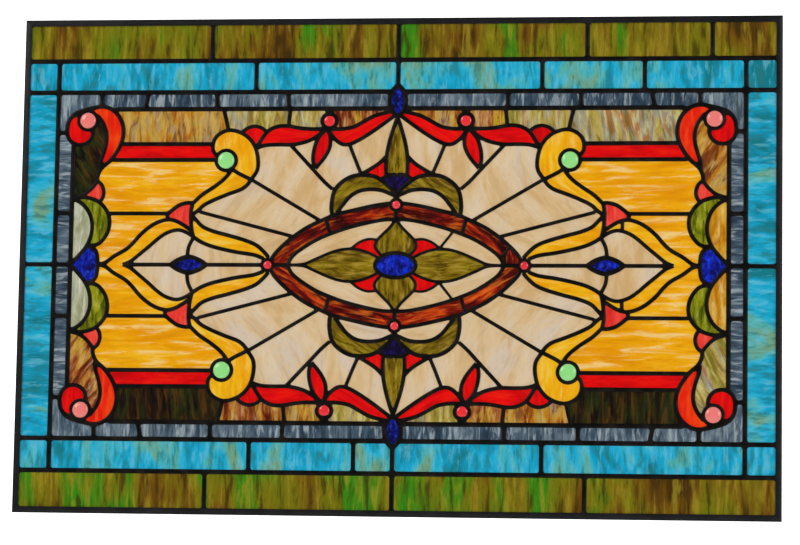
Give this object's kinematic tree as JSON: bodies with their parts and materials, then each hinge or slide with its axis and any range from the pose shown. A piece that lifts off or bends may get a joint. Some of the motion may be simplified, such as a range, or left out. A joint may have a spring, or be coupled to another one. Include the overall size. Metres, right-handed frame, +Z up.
{
  "type": "stained glass window",
  "caption": "Leaded stained glass window panel with a striped border, corner scrolls and a central eye of coloured glass, in a slim zinc channel frame, made to hang or be fixed.",
  "frame": {"origin": "middle of the bottom edge face, at mid thickness, the sill edge that the panel stands on when it is fixed", "axes": "+X to the viewer's right along the width, +Z up, the front faces -Y, +Y through the thickness to the back"},
  "size_m": [0.762, 0.0075, 0.498],
  "materials": {
    "blackened_zinc": "black patina on zinc, semi-matt, worn lighter at the corners",
    "black_patina_solder": "solder with black patina, soft sheen, brown-grey at the joints",
    "olive_opal_glass": "opalescent, streaked olive, green and brown",
    "turquoise_opal_glass": "opalescent, streaked turquoise and sea green",
    "gray_wispy_glass": "opalescent, blue grey with white wisps",
    "amber_brown_opal_glass": "opalescent, streaked amber, tan, green and brown",
    "amber_opal_glass": "opalescent amber with pale level streaks",
    "gold_opal_glass": "opalescent gold yellow",
    "cream_opal_glass": "opalescent cream with warm clouds",
    "maroon_streaky_glass": "streaky, maroon to orange",
    "red_cathedral_glass": "bright red, smooth",
    "blue_hammered_glass": "deep blue, hammered",
    "pink_jewel_glass": "pressed pink glass jewel, glossy",
    "green_jewel_glass": "pressed pale green glass jewel, glossy"
  },
  "bodies": {
    "root": {"zinc_channel_top": "blackened_zinc", "zinc_channel_bottom": "blackened_zinc", "zinc_channel_left": "blackened_zinc", "zinc_channel_right": "blackened_zinc", "lead_net": "black_patina_solder", "olive_band_top": "olive_opal_glass", "olive_band_bottom": "olive_opal_glass", "turquoise_band_top": "turquoise_opal_glass", "turquoise_band_bottom": "turquoise_opal_glass", "turquoise_column_left": "turquoise_opal_glass", "turquoise_column_right": "turquoise_opal_glass", "gray_border_left": "gray_wispy_glass", "gray_border_right": "gray_wispy_glass", "marbled_panel_top_left": "amber_brown_opal_glass", "marbled_panel_top_right": "amber_brown_opal_glass", "marbled_panel_bottom_left": "amber_brown_opal_glass", "marbled_panel_bottom_right": "amber_brown_opal_glass", "amber_field_top_left": "amber_opal_glass", "amber_field_top_right": "amber_opal_glass", "amber_field_bottom_left": "amber_opal_glass", "amber_field_bottom_right": "amber_opal_glass", "gold_scroll_top_left": "gold_opal_glass", "gold_scroll_top_right": "gold_opal_glass", "gold_scroll_bottom_left": "gold_opal_glass", "gold_scroll_bottom_right": "gold_opal_glass", "gold_spear_left": "gold_opal_glass", "gold_spear_right": "gold_opal_glass", "cream_fan_top_left": "cream_opal_glass", "cream_fan_top_right": "cream_opal_glass", "cream_fan_bottom_left": "cream_opal_glass", "cream_fan_bottom_right": "cream_opal_glass", "cream_spade_left": "cream_opal_glass", "cream_spade_right": "cream_opal_glass", "eye_white_top_left": "cream_opal_glass", "eye_white_top_right": "cream_opal_glass", "eye_white_bottom_left": "cream_opal_glass", "eye_white_bottom_right": "cream_opal_glass", "eye_ring_top_left": "maroon_streaky_glass", "eye_ring_top_right": "maroon_streaky_glass", "eye_ring_bottom_left": "maroon_streaky_glass", "eye_ring_bottom_right": "maroon_streaky_glass", "red_bar_top_left": "red_cathedral_glass", "red_bar_top_right": "red_cathedral_glass", "red_bar_bottom_left": "red_cathedral_glass", "red_bar_bottom_right": "red_cathedral_glass", "olive_petal_left": "olive_opal_glass", "olive_petal_right": "olive_opal_glass", "olive_petal_top": "olive_opal_glass", "olive_petal_bottom": "olive_opal_glass", "blue_heart_left": "blue_hammered_glass", "blue_heart_right": "blue_hammered_glass", "blue_oval": "blue_hammered_glass", "pink_jewel_top_left": "pink_jewel_glass", "pink_jewel_top_right": "pink_jewel_glass", "pink_jewel_bottom_left": "pink_jewel_glass", "pink_jewel_bottom_right": "pink_jewel_glass", "green_jewel_top_left": "green_jewel_glass", "green_jewel_top_right": "green_jewel_glass", "green_jewel_bottom_left": "green_jewel_glass", "green_jewel_bottom_right": "green_jewel_glass"}
  },
  "joints": []
}
